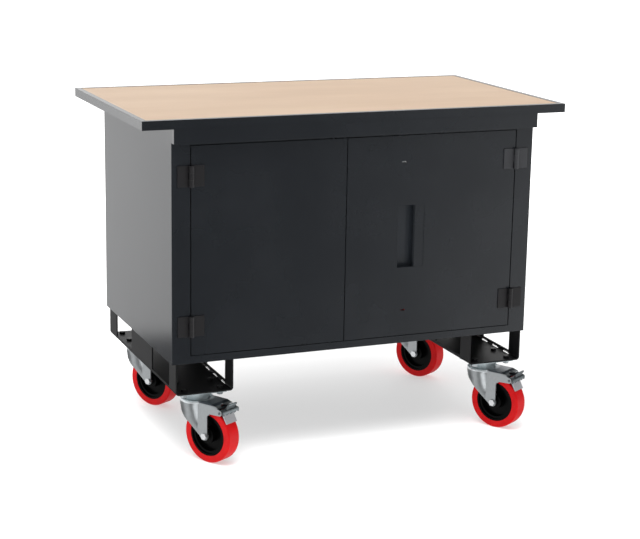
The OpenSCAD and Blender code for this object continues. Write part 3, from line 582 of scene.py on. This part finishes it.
def camera():
    """The photograph's own view, with the worktop's front edge as the measure of depth."""
    azimuth, elevation, roll = (math.radians(a) for a in (CAMERA_AZIMUTH, CAMERA_ELEVATION, CAMERA_ROLL))
    back = Vector((math.sin(azimuth) * math.cos(elevation), -math.cos(azimuth) * math.cos(elevation),
                   math.sin(elevation)))
    right = (-back).cross(Vector((0, 0, 1))).normalized()
    up = right.cross(-back)
    turned_right = right * math.cos(roll) + up * math.sin(roll)
    turned_up = up * math.cos(roll) - right * math.sin(roll)
    data = bpy.data.cameras.new("camera")
    data.sensor_width = SENSOR_MM
    data.lens = FOCAL_PX / PHOTO_WIDTH_PX * SENSOR_MM
    data.clip_start = 0.1
    data.clip_end = 100
    item = bpy.data.objects.new("camera", data)
    place = Vector(CAMERA_PLACE) + Vector((0, moved_back(), 0))
    turn = Matrix((turned_right, turned_up, back)).transposed().to_4x4()
    item.matrix_world = Matrix.Translation(place) @ turn
    bpy.context.scene.collection.objects.link(item)
    bpy.context.scene.camera = item


def closed_mesh(name, points, faces):
    """A piece of the scene's own from points in metres, with its faces turned outwards."""
    mesh = bpy.data.meshes.new(name)
    mesh.from_pydata(points, [], faces)
    made = bmesh.new()
    made.from_mesh(mesh)
    bmesh.ops.recalc_face_normals(made, faces=made.faces)
    made.to_mesh(mesh)
    made.free()
    item = bpy.data.objects.new(name, mesh)
    bpy.context.scene.collection.objects.link(item)
    return item


def solid(name, points, faces, corner):
    """A closed piece given in a caster's own millimetres: along its trail, across it, and up."""
    place = Matrix.Translation(axis_of(corner)) @ Matrix.Rotation(math.radians(TRAIL_TURN), 4, "Z")
    return closed_mesh(name, [place @ (Vector(point) / 1000) for point in points], faces)


def loft(sections):
    """Points and faces of a solid through closed outlines that have as many points each."""
    count = len(sections[0])
    points = [point for section in sections for point in section]
    faces = []
    for k in range(len(sections) - 1):
        for i in range(count):
            j = (i + 1) % count
            faces.append((k * count + i, k * count + j, (k + 1) * count + j, (k + 1) * count + i))
    faces.append(tuple(range(count)))
    faces.append(tuple(len(points) - count + i for i in range(count)))
    return points, faces


def across(outline, *places):
    """Solid between places across a caster's trail, of an outline given along the trail and up."""
    return loft([[(d, place, z) for d, z in outline] for place in places])


def joined(*parts):
    """Several solids' points and faces as one."""
    points, faces = [], []
    for more_points, more_faces in parts:
        faces += [tuple(i + len(points) for i in face) for face in more_faces]
        points += more_points
    return points, faces


def drum_side(side):
    """One side of the fork's drum, from the flat side round to where its wall ends at each height."""
    sections = []
    for height, radius, back in DRUM:
        first = math.asin(FORK_HALF / radius)
        front = DRUM_FRONT / math.cos(first)
        last = math.acos(max(-1.0, back / (front if back > 0 else radius)))
        outer, inner = [], []
        for k in range(DRUM_STEPS + 1):
            turn = first + (last - first) * k / DRUM_STEPS
            c, s = math.cos(turn), side * math.sin(turn)
            if turn < math.pi / 2:
                outer.append((front * c, radius * s, height))
                inner.append((front * c, side * FORK_SHEET, height))
            else:
                outer.append((radius * c, radius * s, height))
                inner.append((FORK_SHEET * c, FORK_SHEET * s, height))
        sections.append(outer + inner[::-1])
    return loft(sections)


def rolled_rim():
    """Ring over the drum, turned about the swivel axis."""
    around = []
    for k in range(FORK_RIM_STEPS):
        turn = 2 * math.pi * k / FORK_RIM_STEPS
        around.append([(r * math.cos(turn), r * math.sin(turn), z) for r, z in FORK_RIM])
    points, faces = loft(around + [around[0]])
    # A ring has no ends
    return points, faces[:-2]


def fork_head(corner, drum_material, rim_material):
    """The fork's pressed head: a drum that narrows downwards behind the flat sides, and its rolled rim."""
    sides = [drum_side(side) for side in (-1, 1)]
    drum_faces = sum(len(faces) for _, faces in sides)
    item = solid("fork_head_" + corner, *joined(*sides, rolled_rim()), corner)
    item.data.materials.append(drum_material)
    item.data.materials.append(rim_material)
    for face in item.data.polygons:
        face.use_smooth = True
        face.material_index = int(face.index >= drum_faces)
    item.data.set_sharp_from_angle(angle=math.radians(SHARP_TURN))
    return item


def tongue(corner, material):
    """Sheet under the notch at the hood's end, where the pedal's foot passes."""
    start, end = TONGUE_REACH
    outline = ((start, -TONGUE_HALF), (end, -TONGUE_HALF), (end, TONGUE_HALF), (start, TONGUE_HALF))
    sections = [[(d, place, z) for d, place in outline] for z in TONGUE_FACES]
    item = solid("hood_tongue_" + corner, *loft(sections), corner)
    item.data.materials.append(material)
    return item


def about_pin(radius, degrees):
    """Place along the trail and up, at a radius and a turn about the pedal's pin."""
    turn = math.radians(degrees)
    return PIN_D + radius * math.cos(turn), PIN_Z + radius * math.sin(turn)


def jaw_section(place):
    """Lower jaw's section at a place across the trail, with its edges where the waves put them."""
    wave = math.cos(place / JAW_HALF * math.pi * JAW_WAVES)
    low, high = JAW_LOW - JAW_LOW_WAVE * wave, JAW_HIGH - JAW_HIGH_WAVE * wave
    turns = [low + (high - low) * k / SECTION_STEPS for k in range(SECTION_STEPS + 1)]
    inner = [about_pin(JAW_INSIDE_R, t) for t in turns]
    outer = [about_pin(JAW_OUTSIDE_R, t) for t in turns]
    return [(d, place, z) for d, z in inner + outer[::-1]]


def lip_section(place):
    """Upper lip's section at a place across the trail; its end stands out most in the middle."""
    end = LIP_BULGE * (1 - (place / LIP_HALF) ** 4)
    outline = ((114.5, 166.0), (117.5, 171.0), (122.5, 178.5), (125.2 + end * 0.4, 182.0 + end * 0.5),
               (128.2 + end * 0.4, 182.2 + end * 0.3), (129.0 + end * 0.2, 179.0), (126.2, 175.6),
               (122.0, 169.5), (119.5, 164.5))
    return [(d, place, z) for d, z in outline]


def pedal(corner, material):
    """Brake pedal: a wavy lower jaw round the arms' eyes, a narrower upper one, and webs to the pin."""
    lower = loft([jaw_section(JAW_HALF * (2 * k / JAW_STEPS - 1)) for k in range(JAW_STEPS + 1)])
    upper = loft([lip_section(LIP_HALF * (2 * k / LIP_STEPS - 1)) for k in range(LIP_STEPS + 1)])
    webs = [across(WEB, -WEB_HALF, -WEB_START), across(WEB, WEB_START, WEB_HALF)]
    eye = across([about_pin(EYE_R, 360 * k / EYE_STEPS) for k in range(EYE_STEPS)], -WEB_HALF, WEB_HALF)
    item = solid("pedal_look_" + corner, *joined(lower, upper, *webs, eye), corner)
    item.data.materials.append(material)
    rounded(item, SHEET_ROUND)
    return item


def open_slots(name):
    """Opens slots of a channel through the whole of its right bend, slanting back as they go in."""
    low, high = (Vector(corner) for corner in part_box(name))
    blocks = []
    for k in SLOTS_THROUGH:
        start = low.y + SLOT_START + k * SLOT_PITCH - SLOT_LEAD
        end = start + SLOT_LEAD + SLOT_LENGTH
        outline = ((high.x - SLOT_IN, start - SLOT_SLANT), (high.x + SLOT_PAST, start),
                   (high.x + SLOT_PAST, end), (high.x - SLOT_IN, end - SLOT_SLANT))
        blocks.append(loft([[(x, y, low.z + z) for x, y in outline] for z in (SLOT_LOW, SLOT_HIGH)]))
    cutter = closed_mesh("slots_of_" + name, *joined(*blocks))
    cutter.hide_render = True
    cutter.hide_viewport = True
    cut = nodes[name].modifiers.new("slots", "BOOLEAN")
    cut.object = cutter
    cut.operation = "DIFFERENCE"
    cut.solver = "EXACT"


def floor():
    """The floor, and the collection that holds it alone."""
    corners = [(-FLOOR_HALF, -FLOOR_HALF, 0), (FLOOR_HALF, -FLOOR_HALF, 0), (FLOOR_HALF, FLOOR_HALF, 0),
               (-FLOOR_HALF, FLOOR_HALF, 0)]
    mesh = bpy.data.meshes.new("floor")
    mesh.from_pydata(corners, [], [(0, 1, 2, 3)])
    mesh.materials.append(floor_material())
    item = bpy.data.objects.new("floor", mesh)
    item.location = (0, 0, -FLOOR_DEPTH)
    item.visible_glossy = False
    bpy.context.scene.collection.objects.link(item)
    ground = bpy.data.collections.new("ground")
    ground.objects.link(item)
    return ground


# Finishes of the cupboard and channels
dress(paint("paint_grey", PAINT_SHADES, PAINT_ROUGHNESS), *GREY_PAINT)
dress(tray_paint(), "worktop_tray")
dress(paint("paint_side", PAINT_SHADES, SIDE_ROUGHNESS), *SIDE_PAINT)
dress(handle_paint(), "door_right_handle")
dress(hinge_paint(), *HINGE_PAINT)
dress(paint("paint_black", (linear(15, 15, 17), linear(20, 20, 22)), 0.50, gloss=0.20), *BLACK_PAINT)
dress(board(), "worktop_board")
dress(black_oxide(), "caster_bolts")
dress(zinc("zinc_bright", (linear(176, 184, 188), linear(206, 212, 215)), 0.34), *BRIGHT_ZINC)
# Painted highlight line across the upper key's dark end
dress(key_end("key_upper", KEY_HIGH_Z, linear(244, 246, 247), linear(24, 26, 28)), "key_barrel_top")
# The lower key's end is dark red, its own colour, with a painted highlight line of lighter red
dress(key_end("key_lower", KEY_LOW_Z, linear(128, 14, 18), linear(34, 12, 14)), "key_barrel_bottom")

# Finishes of the casters
fork_zinc = zinc("zinc_fork", FORK_SHADES, FORK_ROUGHNESS)
# Painted shade: the sheet under the hood's notch is dark zinc, as dark as the hood's painted shade
hood_painted_shade_zinc = zinc("zinc_hood_painted_shade", (linear(60, 66, 72), linear(74, 80, 86)), 0.38)
bolt_zinc = zinc("zinc_bolt", (linear(214, 217, 219), linear(226, 228, 230)), 0.22)
# Painted highlight: the fork's rolled rim is a lighter, less metallic copy of the fork's zinc
rim_highlight_zinc = zinc("zinc_rim_painted_highlight", (linear(206, 212, 214), linear(222, 227, 229)), 0.34, metal=0.5)
shoe_zinc = zinc("zinc_shoe", (linear(172, 172, 176), linear(184, 184, 188)), 0.40, metal=0.35)
plate_zinc = zinc("zinc_plate", (linear(176, 188, 192), linear(194, 204, 207)), 0.36, metal=0.55)
dark_zinc = zinc("zinc_dark", (linear(86, 93, 96), linear(118, 125, 128)), 0.33)
red = moulded("tyre_red", (linear(190, 3, 9), linear(204, 8, 14)), 35.0, (0.30, 0.42), 260.0, 0.14)
black = moulded("core_black", (linear(2, 3, 3), linear(5, 6, 6)), 50.0, (0.24, 0.36), 300.0, 0.07)

dress(plate_zinc, "caster_plates", "kingpins")
for caster in CASTERS:
    dress(bolt_zinc, "axle_" + caster)
    dress(black, "bearings_" + caster, "core_" + caster)
    dress(red, "tyre_" + caster)
    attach(fork_head(caster, fork_zinc, rim_highlight_zinc), "swivel_" + caster)
    if caster.startswith("f"):
        dress(zinc("zinc_braked_" + caster, FORK_SHADES, FORK_ROUGHNESS, braked=caster), "fork_" + caster)
        dress(dark_zinc, "pedal_" + caster, "brake_pin_" + caster)
        dress(shoe_zinc, "shoe_" + caster)
        look = pedal(caster, dark_zinc)
        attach(look, "brake_" + caster)
        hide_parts("pedal_" + caster)
        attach(tongue(caster, hood_painted_shade_zinc), "swivel_" + caster)
    else:
        dress(fork_zinc, "fork_" + caster)

# Pressed edges, and the channels' slots
soften(SHEET_ROUND, *FOLDED_SHEET)
soften(BOARD_ROUND, "worktop_board")
soften(STEEL_ROUND, "skid_left", "skid_right", "shoe_fl", "shoe_fr")
soften(STEEL_ROUND, *("fork_" + caster for caster in CASTERS))
open_slots("skid_left")
open_slots("skid_right")

# Setting
ground = floor()
world()
area_light(*FLOOR_LIGHT, only=ground)
for light in LIGHTS:
    area_light(*light)
bpy.context.scene.view_settings.view_transform = "Standard"
camera()
